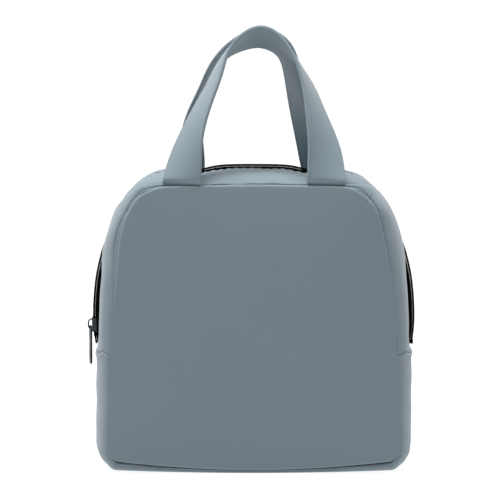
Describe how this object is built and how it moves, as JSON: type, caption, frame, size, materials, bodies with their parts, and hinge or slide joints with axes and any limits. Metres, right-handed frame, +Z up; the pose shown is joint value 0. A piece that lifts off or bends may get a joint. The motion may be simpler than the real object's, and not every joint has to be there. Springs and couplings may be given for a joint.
{
  "type": "lunch bag",
  "caption": "Soft insulated lunch bag with a zip over the top, two upright strap handles and a flat base.",
  "frame": {"origin": "on the ground under the middle of the bag, at the centre of its flat base", "axes": "+Z up towards the handles, +X to the right as seen from the front, +Y from the front panel to the back panel"},
  "size_m": [0.2353, 0.143, 0.313],
  "materials": {
    "shell_fabric": "woven polyester, fine plain weave",
    "strap_fabric": "woven polyester, folded and stitched",
    "foam": "closed-cell polyethylene foam",
    "lining_film": "heat-sealed film lining",
    "binding_tape": "woven edge tape",
    "zip_tape": "knitted polyester tape",
    "zip_coil": "nylon coil",
    "slider_metal": "die-cast zinc, dark paint"
  },
  "bodies": {
    "bag": {"front_panel": "shell_fabric", "back_panel": "shell_fabric", "top_strip_front": "shell_fabric", "top_strip_back": "shell_fabric", "lower_gusset": "shell_fabric", "foam_front": "foam", "foam_back": "foam", "foam_top_front": "foam", "foam_top_back": "foam", "foam_lower": "foam", "lining_front": "lining_film", "lining_back": "lining_film", "lining_top_front": "lining_film", "lining_top_back": "lining_film", "lining_lower": "lining_film", "seam_binding_front": "binding_tape", "seam_binding_back": "binding_tape", "zip_tape_front": "zip_tape", "zip_tape_back": "zip_tape", "zip_coil_front": "zip_coil", "zip_coil_back": "zip_coil", "zip_stops": "zip_coil", "front_strap_ends": "strap_fabric", "back_strap_ends": "strap_fabric"},
    "front_strap": {"front_handle": "strap_fabric"},
    "back_strap": {"back_handle": "strap_fabric"},
    "zip_slider": {"slider_body": "slider_metal", "slider_bail": "slider_metal"},
    "zip_puller": {"slider_puller": "slider_metal"}
  },
  "joints": [
    {"name": "front_handle_fold", "type": "hinge", "parent": "bag", "child": "front_strap", "pos_m": [0, -0.0668, 0.2034], "axis": [1, 0, 0], "range_deg": [0, 140]},
    {"name": "back_handle_fold", "type": "hinge", "parent": "bag", "child": "back_strap", "pos_m": [0, 0.0668, 0.2034], "axis": [-1, 0, 0], "range_deg": [0, 140]},
    {"name": "slider_travel", "type": "hinge", "parent": "bag", "child": "zip_slider", "pos_m": [0.08771, 0, 0.1036], "axis": [0, 1, 0], "range_deg": [0, 19]},
    {"name": "puller_swing", "type": "hinge", "parent": "zip_slider", "child": "zip_puller", "pos_m": [-0.11782, 0, 0.09579], "axis": [0, 1, 0], "range_deg": [0, 125]}
  ]
}
